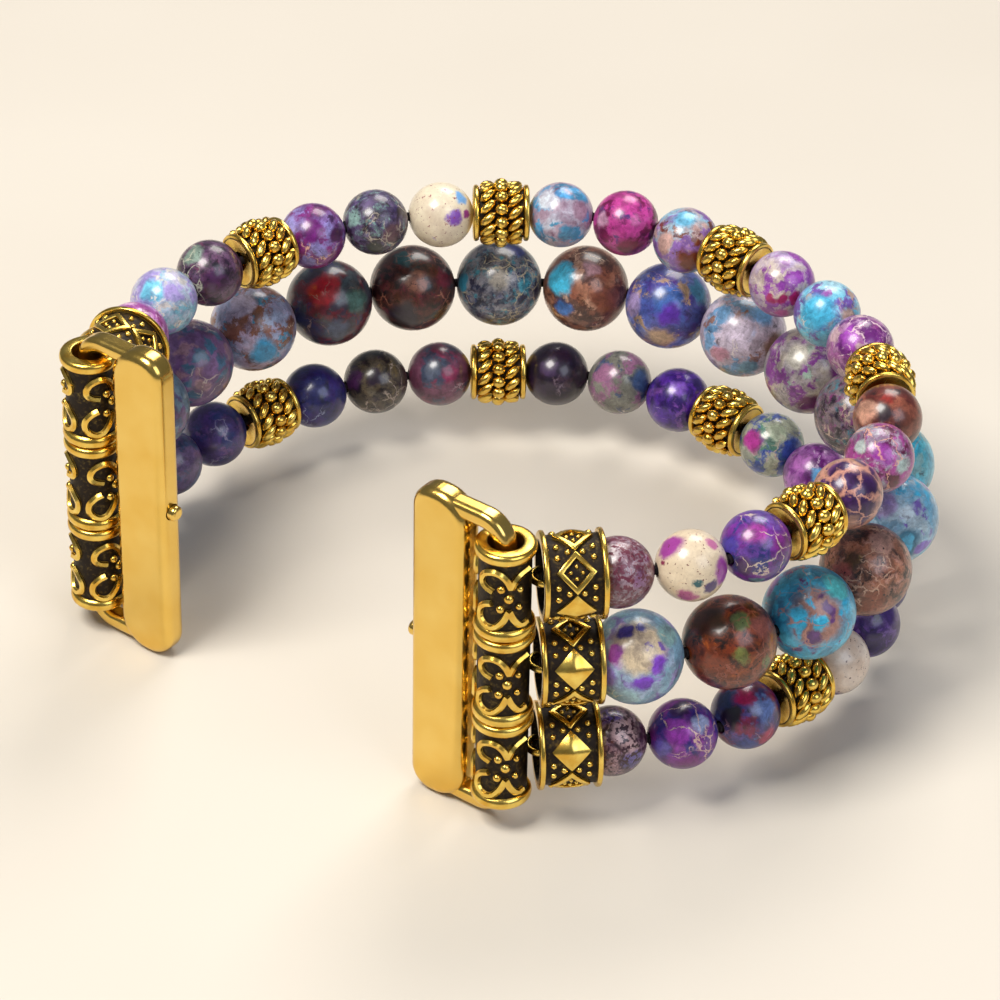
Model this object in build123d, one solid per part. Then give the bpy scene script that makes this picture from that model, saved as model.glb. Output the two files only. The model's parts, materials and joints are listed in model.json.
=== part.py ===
from build123d import *
import math
import os

# Bead watch band. All lengths are in millimetres and all angles in degrees.
# The loop stands on its edge: three strands lie level, one above the other, and +Z is the loop's axis.
# +X runs from the left bar to the right bar, +Y points to the back of the loop.
# Strand places are worked out in plan from the right bar, through the stones, to the left bar.

# Stones: large ones on the middle strand, small ones on the top and bottom strands
large_stone_diameter = 8.0
small_stone_diameter = 6.0
stone_bore = 1.2
bore_chamfer = 0.2

# Stringing: strand_pitch is the height between strands
strand_pitch = 8.8
large_bead_gap = 0.2
small_bead_gap = 0.12
spacer_gap = 0.16

# How far the two strands of small stones lie inside the middle strand, column by column
strand_inset = 1.9
inset_shares = (0.0, 0.32, 0.6, 0.66, 0.68, 0.76, 0.88, 1.0, 1.0,
                0.95, 0.92, 0.96, 0.98, 0.92, 0.72, 0.34, 0.0)

# The bend at each of the sixteen gaps between large stones, from the right end to the left
flex_bends = (17, 17, 19, 19, 19, 16, 14, 12, 13, 15, 14, 12, 12, 14, 16, 17)
# How each column turns from the eyes of its bails
right_bail_turn = -11
left_bail_turn = -6
# The small stones of the two end runs sit this much further from the collars
end_run_slack = 0.26

# Granulated spacer: its length is between the flat seats, and each rim stands out past its seat
spacer_length = 4.7
spacer_lip = 0.25
spacer_bore = 1.8
spacer_seat_diameter = 3.6
spacer_core_diameter = 4.6
spacer_rim_diameter = 5.1
spacer_rim_width = 0.6
granule_diameter = 1.2
granule_ring_diameter = 5.3
granule_count = 14
rope_ridge_diameter = 6.0
rope_ridge_width = 1.1
rope_row_offset = 1.2

# Large-hole collar that hides each cord end
collar_length = 5.3
collar_bore = 5.7
collar_body_diameter = 6.9
collar_rim_diameter = 7.6
collar_rim_width = 0.5
collar_rim_round = 0.2
motif_count = 6
motif_half_width = 1.68
motif_line = 0.42
motif_height = 0.3
pyramid_height = 0.55
pyramid_wall = 0.12
motif_dot_diameter = 0.4
motif_dot_spread = 0.5
# How each collar happens to be turned on its strand
collar_turns = {"top": 51, "middle": 6, "bottom": 3}

# Tube bail: the tube turns on the frame's bar, its eye holds the cord
tube_outer_diameter = 4.7
tube_rim_diameter = 5.2
tube_rim_width = 1.0
tube_bore = 3.0
tube_gap = 0.1
eye_ring_diameter = 2.1
eye_wire = 0.64
eye_reach = 3.4
# Its relief stands in two mirrored halves, and the turns are measured from the eye
dot_diameter = 0.9
dot_rise = 0.2
dot_turn = 99
scroll_diameter = 2.3
scroll_wire = 0.56
scroll_spread = 1.75
scroll_turn = 141
arm_wire = 0.5
arm_rise = 0.1
arm_turns = (95, 48)
arm_spreads = (1.15, 2.5)
drop_diameter = 0.55
drop_turn = 74
drop_spread = 0.9

# Collar seat and stone seats, measured along the strand
collar_clearance = 0.4
small_seat_clearance = 0.12
large_seat_clearance = 0.12

# Wire frame that carries the three tubes
wire_width = 1.9
wire_height = 1.5
wire_round = 0.6
leg_overhang = 1.4
leg_bend_radius = 2.0
leg_tenon = 2.0

# Lug that slides into the watch's slot
lug_stand_off = 3.3
lug_depth = 5.6
lug_length = 31.4
lug_thickness = 2.6
lug_edge_round = 0.9
lug_mouth_corner = 3.0
lug_inner_corner = 2.2

# Spring catch in the lug's inner face
catch_diameter = 1.4
catch_head_diameter = 1.9
catch_head_length = 0.6
catch_rise = 0.7
catch_travel = 0.6
catch_mouth_length = 0.7
catch_clearance = 0.08
spring_length = 1.6
spring_wire = 0.2
spring_turns = 5

# Elastic cord, one for each strand
cord_diameter = 0.8
cord_bend_radius = 1.4
straight_angle = 0.8
loop_diameter = 2.0
loop_offset = 1.1
knot_diameter = 2.0
knot_length = 1.2
overrun = 1.0

column_count = len(flex_bends) + 1
run_count = (column_count + 1) // 3
strand_heights = {"top": strand_pitch, "middle": 0, "bottom": -strand_pitch}
column_pitch = large_stone_diameter + large_bead_gap
small_pitch = small_stone_diameter + small_bead_gap
spacer_pitch = spacer_length + spacer_gap
bore_radius = collar_bore / 2


def seat_depth(stone_diameter, clearance):
    """Distance from the collar's mouth to the centre of the stone that nests in it."""
    radius = stone_diameter / 2
    return math.sqrt(radius * radius - bore_radius * bore_radius) + clearance


large_seat = seat_depth(large_stone_diameter, large_seat_clearance)
small_seat = seat_depth(small_stone_diameter, small_seat_clearance)
collar_start = tube_rim_diameter / 2 + collar_clearance - eye_reach
collar_middle = collar_start + collar_length / 2
collar_mouth = collar_start + collar_length
first_stone = collar_mouth + large_seat


def ahead(point, heading, distance):
    """The plan point that lies this far along a heading."""
    turn = math.radians(heading)
    return point[0] + distance * math.cos(turn), point[1] + distance * math.sin(turn)


def between(start, end, share=0.5):
    return start[0] + share * (end[0] - start[0]), start[1] + share * (end[1] - start[1])


def heading_of(start, end):
    return math.degrees(math.atan2(end[1] - start[1], end[0] - start[0]))


def apart(start, end):
    return math.hypot(end[0] - start[0], end[1] - start[1])


def walk(start, heading):
    """Follows the chain from the right bar and returns its plan points and headings."""
    plan = {"right_bar": start, "right_bail_heading": heading}
    point = ahead(start, heading, eye_reach)
    plan["right_eye"] = point
    heading += right_bail_turn
    point = ahead(point, heading, first_stone)
    plan["centres"] = [point]
    plan["headings"] = [heading]
    plan["hinges"] = []
    for bend in flex_bends:
        hinge = ahead(point, heading, column_pitch / 2)
        heading += bend
        point = ahead(hinge, heading, column_pitch / 2)
        plan["hinges"].append(hinge)
        plan["centres"].append(point)
        plan["headings"].append(heading)
    point = ahead(point, heading, first_stone)
    plan["left_eye"] = point
    heading += left_bail_turn
    plan["left_bail_heading"] = heading
    plan["left_bar"] = ahead(point, heading, eye_reach)
    return plan


# The first walk finds the line between the bars, the second lays that line on the X axis
trial = walk((0, 0), 0)
bar_span = apart(trial["right_bar"], trial["left_bar"])
start_heading = 180 - heading_of(trial["right_bar"], trial["left_bar"])
plan = walk((bar_span / 2, 0), start_heading)
centres = plan["centres"]
headings = plan["headings"]
hinges = plan["hinges"]


def inset_point(index):
    """Where the small-stone strands cross the middle of a column."""
    return ahead(centres[index], headings[index] + 90, strand_inset * inset_shares[index])


def onto_line(far, origin, heading, length):
    """The point of the line through origin that lies one bead's length before far."""
    turn = math.radians(heading)
    x = (far[0] - origin[0]) * math.cos(turn) + (far[1] - origin[1]) * math.sin(turn)
    y = -(far[0] - origin[0]) * math.sin(turn) + (far[1] - origin[1]) * math.cos(turn)
    return ahead(origin, heading, x - math.sqrt(length * length - y * y))


def small_strand():
    """The ends of each bead's own stretch of cord on a strand of small stones, in order."""
    ends = []
    for run in range(run_count):
        first = 3 * run
        bisector = (headings[first] + headings[first + 1]) / 2
        inset = strand_inset * (inset_shares[first] + inset_shares[first + 1]) / 2
        middle = ahead(hinges[first], bisector + 90, inset)
        if run == 0:
            middle = ahead(middle, bisector, end_run_slack)
        if run == run_count - 1:
            middle = ahead(middle, bisector, -end_run_slack)
        before = ahead(middle, bisector, -small_pitch / 2)
        after = ahead(middle, bisector, small_pitch / 2)
        if run == 0:
            before = onto_line(after, centres[0], headings[0], small_pitch)
            start = ahead(before, headings[0], -small_pitch)
        else:
            spacer = first - 1
            start = ahead(inset_point(spacer), headings[spacer], spacer_pitch / 2)
        if run == run_count - 1:
            back = headings[-1] + 180
            after = onto_line(before, centres[-1], back, small_pitch)
            finish = ahead(after, back, -small_pitch)
        else:
            spacer = first + 2
            finish = ahead(inset_point(spacer), headings[spacer], -spacer_pitch / 2)
        ends.append((start, before, after, finish))
    return ends


small_runs = small_strand()


def at(point, heading, height=0):
    """Places a piece that was made along +X at a plan point, heading and height."""
    return Location((point[0], point[1], height), (0, 0, heading))


def turned_profile(points_and_arcs):
    return revolve(make_face(points_and_arcs), Axis.X, 360)


def make_stone(diameter):
    """A ball drilled through, with both mouths of the bore eased."""
    radius = diameter / 2
    bore = stone_bore / 2
    lip = bore + bore_chamfer
    reach = math.sqrt(radius * radius - lip * lip)
    outline = [
        ThreePointArc((-reach, lip), (0, radius), (reach, lip)),
        Line((reach, lip), (reach - bore_chamfer, bore)),
        Line((reach - bore_chamfer, bore), (bore_chamfer - reach, bore)),
        Line((bore_chamfer - reach, bore), (-reach, lip)),
    ]
    return turned_profile(outline)


def ring_of(shape, count, start_angle=0):
    """Copies of a shape at even steps around the X axis."""
    return [Rot(start_angle + 360 * step / count, 0, 0) * shape for step in range(count)]


def make_spacer():
    """A drum with dished ends, smooth rims, two rope ridges and a row of round granules."""
    half = spacer_length / 2
    end = half + spacer_lip
    seat = spacer_seat_diameter / 2
    core = spacer_core_diameter / 2
    rim = spacer_rim_diameter / 2
    rope = rope_ridge_diameter / 2
    bore = spacer_bore / 2
    rim_middle = end - spacer_rim_width / 2
    rim_inner = end - spacer_rim_width
    rope_outer = rope_row_offset + rope_ridge_width / 2
    rope_inner = rope_row_offset - rope_ridge_width / 2
    outline = [
        Line((-half, bore), (-half, seat)),
        Line((-half, seat), (-end, core)),
        ThreePointArc((-end, core), (-rim_middle, rim), (-rim_inner, core)),
        Line((-rim_inner, core), (-rope_outer, core)),
        ThreePointArc((-rope_outer, core), (-rope_row_offset, rope), (-rope_inner, core)),
        Line((-rope_inner, core), (rope_inner, core)),
        ThreePointArc((rope_inner, core), (rope_row_offset, rope), (rope_outer, core)),
        Line((rope_outer, core), (rim_inner, core)),
        ThreePointArc((rim_inner, core), (rim_middle, rim), (end, core)),
        Line((end, core), (half, seat)),
        Line((half, seat), (half, bore)),
        Line((half, bore), (-half, bore)),
    ]
    granule = Pos(0, granule_ring_diameter / 2, 0) * Sphere(granule_diameter / 2)
    return turned_profile(outline).fuse(*ring_of(granule, granule_count)).clean()


def diamond(half_width):
    return Polygon((-half_width, 0), (0, half_width), (half_width, 0), (0, -half_width), align=None)


def make_pyramid(body):
    """A raised pyramid on the +Z side of a ring, with its four corners just above the curved face."""
    half = motif_half_width
    side = math.sqrt(body * body - half * half)
    ridge = body + pyramid_wall
    flank = side + pyramid_wall
    crown = [Vector(half, 0, ridge), Vector(0, half, flank), Vector(-half, 0, ridge), Vector(0, -half, flank)]
    sole = [Vector(corner.X, corner.Y, side - pyramid_wall) for corner in crown]
    peak = Vector(0, 0, body + pyramid_height)
    faces = [Face(Wire.make_polygon(sole))]
    for index in range(len(crown)):
        after = (index + 1) % len(crown)
        faces.append(Face(Wire.make_polygon([crown[index], crown[after], peak])))
        faces.append(Face(Wire.make_polygon([sole[index], sole[after], crown[after], crown[index]])))
    return Solid(Shell(faces))


def make_collar():
    """A short wide ring with two rims, and between them two open diamonds after each pyramid."""
    half = collar_length / 2
    body = collar_body_diameter / 2
    rim = collar_rim_diameter / 2
    rim_inner = half - collar_rim_width
    outline = [
        Line((-half, bore_radius), (-half, rim - collar_rim_round)),
        Line((-half, rim - collar_rim_round), (collar_rim_round - half, rim)),
        Line((collar_rim_round - half, rim), (-rim_inner - collar_rim_round, rim)),
        Line((-rim_inner - collar_rim_round, rim), (-rim_inner, body)),
        Line((-rim_inner, body), (rim_inner, body)),
        Line((rim_inner, body), (rim_inner + collar_rim_round, rim)),
        Line((rim_inner + collar_rim_round, rim), (half - collar_rim_round, rim)),
        Line((half - collar_rim_round, rim), (half, rim - collar_rim_round)),
        Line((half, rim - collar_rim_round), (half, bore_radius)),
        Line((half, bore_radius), (-half, bore_radius)),
    ]
    ring = turned_profile(outline)
    base = Plane.XY.offset(math.sqrt(body * body - motif_half_width * motif_half_width))
    slab = extrude(base * (diamond(motif_half_width) - diamond(motif_half_width - motif_line)),
                   body, dir=(0, 0, 1))
    shell = Rot(0, 90, 0) * Cylinder(body + motif_height, collar_length)
    open_frame = slab & shell
    dot = Cylinder(motif_dot_diameter / 2, 2 * motif_height)
    dots = [Pos(x * motif_dot_spread, y * motif_dot_spread, body) * dot & shell
            for x, y in ((1, 0), (0, 1), (-1, 0), (0, -1))]
    step = 360 / motif_count
    repeats = motif_count // 3
    motifs = ring_of(make_pyramid(body), repeats, step)
    for piece in [open_frame, *dots]:
        motifs += ring_of(piece, repeats) + ring_of(piece, repeats, 2 * step)
    bore_tool = Rot(0, 90, 0) * Cylinder(bore_radius, collar_length + overrun)
    return ring.fuse(*motifs).clean() - bore_tool


def make_bail():
    """A tube with a thick ring at each end and a round eye on its side, made about the Z axis."""
    length = strand_pitch - tube_gap
    half = length / 2
    rim = tube_rim_diameter / 2
    body = tube_outer_diameter / 2
    bore = tube_bore / 2
    ledge = half - tube_rim_width
    face = rim - tube_rim_width / 4
    outline = [
        Line((bore, -half), (face, -half)),
        ThreePointArc((face, -half), (rim, tube_rim_width / 2 - half), (body, -ledge)),
        Line((body, -ledge), (body, ledge)),
        ThreePointArc((body, ledge), (rim, half - tube_rim_width / 2), (face, half)),
        Line((face, half), (bore, half)),
        Line((bore, half), (bore, -half)),
    ]
    tube = revolve(Plane.XZ * make_face(outline), Axis.Z, 360)
    eye = Pos(eye_reach, 0, 0) * Torus(eye_ring_diameter / 2, eye_wire / 2)
    scroll = Rot(0, 90, 0) * Torus(scroll_diameter / 2 - scroll_wire / 2, scroll_wire / 2)
    boss = Rot(0, 90, 0) * Cylinder(dot_diameter / 2, 2 * dot_rise)
    drop = Rot(0, 90, 0) * Sphere(drop_diameter / 2)
    relief = []
    for side in (-1, 1):
        relief.append(Rot(0, 0, side * dot_turn) * Pos(body, 0, 0) * boss)
        for tier in (-1, 1):
            relief.append(Rot(0, 0, side * scroll_turn) * Pos(body, 0, tier * scroll_spread) * scroll)
            relief.append(Rot(0, 0, side * drop_turn) * Pos(body, 0, tier * drop_spread) * drop)
            ends = [Vector(*ahead((0, 0), side * turn, body + arm_rise), tier * spread)
                    for turn, spread in zip(arm_turns, arm_spreads)]
            line = Edge.make_line(*ends)
            relief.append(sweep(Plane(origin=ends[0], z_dir=ends[1] - ends[0]) * Circle(arm_wire / 2),
                                path=line))
    bar_room = Cylinder(bore, length + overrun)
    swell = Cylinder(rim, length)
    return (tube.fuse(eye, *[piece & swell for piece in relief])).clean() - bar_room


leg_height = 3 * strand_pitch / 2 + leg_overhang
lug_face = -lug_stand_off
lug_back = lug_face - lug_depth


def make_frame():
    """A U of rectangular wire: the bar on the Z axis, two bent legs, tenons set into the lug."""
    tenon_end = lug_face - leg_tenon
    path = FilletPolyline(
        (tenon_end, 0, leg_height), (0, 0, leg_height), (0, 0, -leg_height),
        (tenon_end, 0, -leg_height), radius=leg_bend_radius)
    section = Plane(origin=(tenon_end, 0, leg_height), x_dir=(0, 1, 0), z_dir=(1, 0, 0))
    return sweep(section * RectangleRounded(wire_width, wire_height, wire_round), path=path)


def make_lug(frame):
    """A rounded bar with two sockets for the frame's tenons and a pocket for the catch."""
    half = lug_length / 2
    outline = [
        Line((lug_face, lug_mouth_corner - half), (lug_face, half - lug_mouth_corner)),
        TangentArc((lug_face, half - lug_mouth_corner),
                   (lug_face - lug_mouth_corner, half), tangent=(0, 1)),
        Line((lug_face - lug_mouth_corner, half), (lug_back + lug_inner_corner, half)),
        TangentArc((lug_back + lug_inner_corner, half),
                   (lug_back, half - lug_inner_corner), tangent=(-1, 0)),
        Line((lug_back, half - lug_inner_corner), (lug_back, lug_inner_corner - half)),
        TangentArc((lug_back, lug_inner_corner - half),
                   (lug_back + lug_inner_corner, -half), tangent=(0, -1)),
        Line((lug_back + lug_inner_corner, -half), (lug_face - lug_mouth_corner, -half)),
        TangentArc((lug_face - lug_mouth_corner, -half),
                   (lug_face, lug_mouth_corner - half), tangent=(1, 0)),
    ]
    slab = extrude(Plane.XZ * make_face(outline), lug_thickness / 2, both=True)
    rims = slab.edges().filter_by(lambda e: abs(abs(e.center().Y) - lug_thickness / 2) < catch_clearance)
    lug = fillet(rims, lug_edge_round)
    mouth = catch_mouth_length
    pocket = catch_head_length + spring_length
    mouth_hole = Pos(lug_back + mouth / 2, 0, 0) * Rot(0, 90, 0) * Cylinder(
        catch_diameter / 2 + catch_clearance, mouth + overrun)
    pocket_hole = Pos(lug_back + mouth + pocket / 2, 0, 0) * Rot(0, 90, 0) * Cylinder(
        catch_head_diameter / 2 + catch_clearance, pocket)
    return lug - frame - mouth_hole - pocket_hole


def make_catch():
    """A headed pin that stands out of the lug's inner face."""
    stem = catch_rise + catch_mouth_length
    pin = Pos(lug_back + catch_mouth_length - stem / 2, 0, 0) * Rot(0, 90, 0) * Cylinder(
        catch_diameter / 2, stem)
    nose = pin.faces().sort_by(Axis.X)[0].edges()
    pin = fillet(nose, catch_diameter / 4)
    head = Pos(lug_back + catch_mouth_length + catch_head_length / 2 + catch_clearance / 2, 0, 0) * Rot(
        0, 90, 0) * Cylinder(catch_head_diameter / 2, catch_head_length - catch_clearance)
    bridge = Pos(lug_back + catch_mouth_length, 0, 0) * Rot(0, 90, 0) * Cylinder(
        catch_diameter / 2, 2 * catch_clearance)
    return pin + head + bridge


def make_spring():
    """A small coil spring between the catch's head and the bottom of its pocket."""
    start = lug_back + catch_mouth_length + catch_head_length
    rise = spring_length - 2 * catch_clearance - spring_wire
    radius = catch_head_diameter / 2 - spring_wire / 2
    coil_path = Helix(pitch=rise / spring_turns, height=rise, radius=radius)
    section = Plane(origin=coil_path @ 0, z_dir=coil_path % 0)
    coil = sweep(section * Circle(spring_wire / 2), path=coil_path)
    return Pos(start + catch_clearance + spring_wire / 2, 0, 0) * Rot(0, 90, 0) * coil


def clean_route(points):
    """Drops the points where the route doesn't turn."""
    kept = [points[0]]
    for index in range(1, len(points) - 1):
        turn = heading_of(points[index], points[index + 1]) - heading_of(kept[-1], points[index])
        if abs((turn + 180) % 360 - 180) > straight_angle:
            kept.append(points[index])
    kept.append(points[-1])
    return kept


def make_cord(points, height):
    """One elastic cord: its run through the bores, a knot and an eye loop at each end."""
    route = [Vector(x, y, height) for x, y in points]
    path = FilletPolyline(*route, radius=cord_bend_radius)
    section = Plane(origin=path @ 0, z_dir=path % 0)
    cord = sweep(section * Circle(cord_diameter / 2), path=path)
    ends = []
    half = knot_length / 2
    knot = turned_profile([
        ThreePointArc((-half, 0), (0, knot_diameter / 2), (half, 0)),
        Line((half, 0), (-half, 0)),
    ])
    loop = Rot(90, 0, 0) * Torus(loop_diameter / 2, cord_diameter / 2)
    for eye, heading in (("right_eye", headings[0]), ("left_eye", headings[-1] + 180)):
        place = at(plan[eye], heading, height)
        ends.append(place * Pos(loop_offset, 0, 0) * loop)
        ends.append(place * Pos(knot_place, 0, 0) * knot)
    return cord.fuse(*ends).clean()


knot_place = loop_offset + loop_diameter / 2
large_route = clean_route([ahead(plan["right_eye"], headings[0], knot_place), *hinges,
                           ahead(plan["left_eye"], headings[-1] + 180, knot_place)])
small_points = [ahead(plan["right_eye"], headings[0], knot_place)]
for start, before, after, finish in small_runs:
    small_points += [start, before, after, finish]
small_points = [small_points[0], *small_points[2:-1],
                ahead(plan["left_eye"], headings[-1] + 180, knot_place)]
small_route = clean_route(small_points)

# Build one of each kind of piece, then place the copies
large_stone = make_stone(large_stone_diameter)
small_stone = make_stone(small_stone_diameter)
spacer_piece = make_spacer()
collar_piece = make_collar()
bail_piece = make_bail()
frame_piece = make_frame()
lug_piece = make_lug(frame_piece)
catch_piece = make_catch()
spring_piece = make_spring()

pieces = {}
small_stretches = {}
for run, (start, before, after, finish) in enumerate(small_runs):
    for column, stretches in ((3 * run, ((start, before), (before, after))),
                              (3 * run + 1, ((after, finish),))):
        if run == run_count - 1:
            stretches = ((start, before),) if column == 3 * run else ((before, after), (after, finish))
        small_stretches[column] = stretches
        solids = [at(between(*ends), heading_of(*ends), height) * small_stone
                  for height in (strand_pitch, -strand_pitch) for ends in stretches]
        pieces[f"small_stones_{column + 1:02d}"] = solids

for column in range(column_count):
    place = at(centres[column], headings[column])
    pieces[f"large_stone_{column + 1:02d}"] = [place * large_stone]
    if column % 3 == 2:
        for strand in ("top", "bottom"):
            place = at(inset_point(column), headings[column], strand_heights[strand])
            pieces[f"spacer_{strand}_{(column + 1) // 3}"] = [place * spacer_piece]

sides = (("right", "right_eye", headings[0], "right_bar", plan["right_bail_heading"], 0),
         ("left", "left_eye", headings[-1] + 180, "left_bar", plan["left_bail_heading"] + 180, 180))
for side, eye, column_heading, bar, bail_heading, lug_turn in sides:
    for strand, height in strand_heights.items():
        collar_place = at(ahead(plan[eye], column_heading, collar_middle), column_heading, height)
        pieces[f"{side}_collar_{strand}"] = [collar_place * Rot(collar_turns[strand], 0, 0) * collar_piece]
        pieces[f"{side}_bail_{strand}"] = [at(plan[bar], bail_heading, height) * bail_piece]
    lug_place = at(plan[bar], lug_turn)
    pieces[f"{side}_wire_frame"] = [lug_place * frame_piece]
    pieces[f"{side}_lug"] = [lug_place * lug_piece]
    pieces[f"{side}_lug_catch"] = [lug_place * catch_piece]
    pieces[f"{side}_catch_spring"] = [lug_place * spring_piece]

pieces["elastic_cords"] = [make_cord(small_route if height else large_route, height)
                           for height in strand_heights.values()]

# The origin is under the middle of the whole band, on the surface that it stands on
boxes = [solid.bounding_box() for solids in pieces.values() for solid in solids]
low = [min(tuple(box.min)[axis] for box in boxes) for axis in range(len("xyz"))]
high = [max(tuple(box.max)[axis] for box in boxes) for axis in range(len("xyz"))]
shift = Vector(-(low[0] + high[0]) / 2, -(low[1] + high[1]) / 2, -low[2])

os.makedirs("parts", exist_ok=True)
for name, solids in pieces.items():
    moved = [Pos(shift.X, shift.Y, shift.Z) * solid for solid in solids]
    shape = moved[0] if len(moved) == 1 else Compound(children=moved)
    export_step(shape, f"parts/{name}.step")


def report(label, point, heading=0):
    print(label, round(point[0] + shift.X, 4), round(point[1] + shift.Y, 4), round(shift.Z, 4),
          round(heading, 4))


# What the joints need: hinge places, headings and the clearances between neighbours
for index, hinge in enumerate(hinges):
    report(f"hinge {index + 1}", hinge, flex_bends[index])
for index, centre in enumerate(centres):
    report(f"column {index + 1}", centre, headings[index])
    report(f"inset {index + 1}", inset_point(index), headings[index])
for side, eye, column_heading, bar, bail_heading, lug_turn in sides:
    report(f"{side} eye", plan[eye], column_heading)
    report(f"{side} bar", plan[bar], bail_heading)
print("bar span", round(bar_span, 3), "size", [round(top - foot, 3) for top, foot in zip(high, low)])
for run, (start, before, after, finish) in enumerate(small_runs):
    print("run", run + 1, "bead lengths", round(apart(start, before), 3), round(apart(before, after), 3),
          round(apart(after, finish), 3))
print("first small stone from collar mouth",
      round(apart(ahead(plan["right_eye"], headings[0], collar_mouth), between(*small_stretches[0][0])), 3),
      "wanted", round(small_seat, 3))
print("last small stone from collar mouth",
      round(apart(ahead(plan["left_eye"], headings[-1] + 180, collar_mouth),
                  between(*small_stretches[column_count - 1][-1])), 3))
print("cord bend radius", cord_bend_radius, "nodes", len(pieces))
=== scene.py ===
import json
import math

import bmesh
import bpy
from mathutils import Matrix, Vector


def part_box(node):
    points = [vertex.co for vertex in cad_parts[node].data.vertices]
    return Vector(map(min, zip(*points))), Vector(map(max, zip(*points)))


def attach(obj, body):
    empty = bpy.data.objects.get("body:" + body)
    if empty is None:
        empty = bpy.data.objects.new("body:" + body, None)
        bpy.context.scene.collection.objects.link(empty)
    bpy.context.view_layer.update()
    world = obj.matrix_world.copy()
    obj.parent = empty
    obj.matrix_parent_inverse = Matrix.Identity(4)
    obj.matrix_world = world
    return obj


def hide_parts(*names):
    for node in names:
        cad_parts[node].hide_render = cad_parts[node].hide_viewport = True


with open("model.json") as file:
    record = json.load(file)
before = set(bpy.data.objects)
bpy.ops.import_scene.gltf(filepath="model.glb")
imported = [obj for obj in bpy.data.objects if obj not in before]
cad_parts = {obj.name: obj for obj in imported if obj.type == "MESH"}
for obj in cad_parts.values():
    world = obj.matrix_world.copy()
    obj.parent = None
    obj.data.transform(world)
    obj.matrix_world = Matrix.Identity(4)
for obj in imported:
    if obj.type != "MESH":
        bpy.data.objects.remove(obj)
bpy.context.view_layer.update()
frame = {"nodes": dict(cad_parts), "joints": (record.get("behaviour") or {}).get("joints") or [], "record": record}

# Bead watch band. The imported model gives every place; lengths here are in millimetres.
MM = 0.001
nodes = frame["nodes"]
body_of = {node: body for body, held in frame["record"]["behaviour"]["bodies"].items() for node in held}
joints = {joint["name"]: joint for joint in frame["joints"]}

# Stones
LARGE_RADIUS = 4.0
SMALL_RADIUS = 3.0
STONE_BORE = 0.55
STONE_LIP = 0.08
STONE_OUTLINE_STEPS = 92
STONE_STEPS = 60
# How far apart neighbouring stones lie in the noise, so that no two are alike
SMALL_SEED_STEP = 2.7
LARGE_SEED_STEP = 3.1
FIRST_COLUMN = "column_01"
LAST_COLUMN = "column_17"

# Granulated spacer, one in every third column: seats inside two rims, slanted rope ovals and granules
SPACERS = 5
SPACER_PITCH = 3
SPACER_SEAT_HALF = 2.35
SPACER_END = 2.6
SPACER_BORE = 0.9
SPACER_SEAT = 1.8
SPACER_CORE = 2.2
SPACER_RIM = 2.6
SPACER_RIM_WIDTH = 0.6
GRANULES = 14
GRANULE_RING = 2.62
GRANULE = (0.66, 0.58, 0.6)
ROPE_OVALS = 14
ROPE_OFFSET = 1.25
ROPE_RING = 2.48
ROPE_OVAL = (0.95, 0.43, 0.5)
ROPE_SLANT = 42
ROPE_STAGGER = 0.25
SPACER_STEPS = 64

# Collar: two narrow rims, and a ring of motifs, one pyramid and two open diamonds in every three
COLLAR_HALF = 2.65
COLLAR_BORE = 2.85
COLLAR_GROUND = 3.38
COLLAR_RIM = 3.8
COLLAR_RIM_WIDTH = 0.46
COLLAR_TURNS = {"top": 51, "middle": 6, "bottom": 3}
MOTIFS = 6
MOTIF_REPEAT = 3
FRAME_SIZE = (1.66, 1.74)
FRAME_LINE = 0.42
FRAME_EDGE_ROUND = 0.08
MOTIF_RISE = 0.34
DOT_RISE = MOTIF_RISE * 0.8
PYRAMID_SIZE = (1.64, 1.72)
PYRAMID_WALL = 0.2
PYRAMID_RISE = 0.56
INNER_DOTS = ((0.5, 0), (-0.5, 0), (0, 0.5), (0, -0.5))
INNER_DOT = 0.2
OUTER_DOTS = ((0.62, 1.79), (1.5, 1.27), (1.5, 2.31))
OUTER_DOT = 0.28
COLLAR_STEPS = 96

# Bail: a tube with thick end rings, mirrored scroll relief and an eye
TUBE_HALF = 4.35
TUBE_BORE = 1.5
TUBE_GROUND = 2.2
TUBE_RIM = 2.6
TUBE_RIM_WIDTH = 1.0
EYE_REACH = 3.4
EYE_RADIUS = 1.05
EYE_WIRE = 0.32
TUBE_STEPS = 72
# Relief places are (turn in mm of the tube's girth, height along the tube) from a scroll's centre dot
RELIEF_TURN = 99
RELIEF_RADIUS = 2.27
RELIEF_WIRE = 0.31
SCROLLS = (
    ((0.2, 1.13), (-0.46, 2.2), (-1.19, 2.6), (-2.0, 2.5), (-2.5, 2.16), (-2.8, 1.33), (-2.4, 0.9),
     (-1.5, 0.63)),
    ((0.2, 1.13), (0.74, 2.03), (2.26, 2.5)),
    ((0, -1.18), (-0.75, -2.4), (-1.67, -3.0), (-2.75, -2.7), (-3.1, -1.9), (-2.5, -0.95), (-1.67, -0.55)),
    ((0, -1.18), (0.58, -2.2), (1.25, -2.75), (1.98, -2.66)),
)
# The dots at the curls: place and radius, sunk a little below the rings' height
BULBS = ((0, 0, 0.45), (-0.75, 0.98, 0.36), (-0.82, -1.0, 0.36), (1.07, 0.9, 0.3), (0.98, -0.86, 0.3))
BULB_SINK = 0.02

# Patina: how high over the ground cast metal is rubbed fully bright, and how bright the spacers' seats are
SPACER_RELIEF = 0.5
CAST_RELIEF = 0.26
SEAT_SHEEN = 0.45

# Cords
CORD_RADIUS = 0.4
LOOP_RADIUS = 1.0
LOOP_OFFSET = 1.1
KNOT_RADIUS = 1.0
KNOT_HALF_LENGTH = 0.6
CORD_STEPS = 16

# Steps round a bent wire, across its section and across a rounded corner, and where shading breaks
WIRE_STEPS = 40
WIRE_SECTION_STEPS = 12
ROUNDING_STEPS = 4
SHARP_EDGE = math.radians(38)

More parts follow.
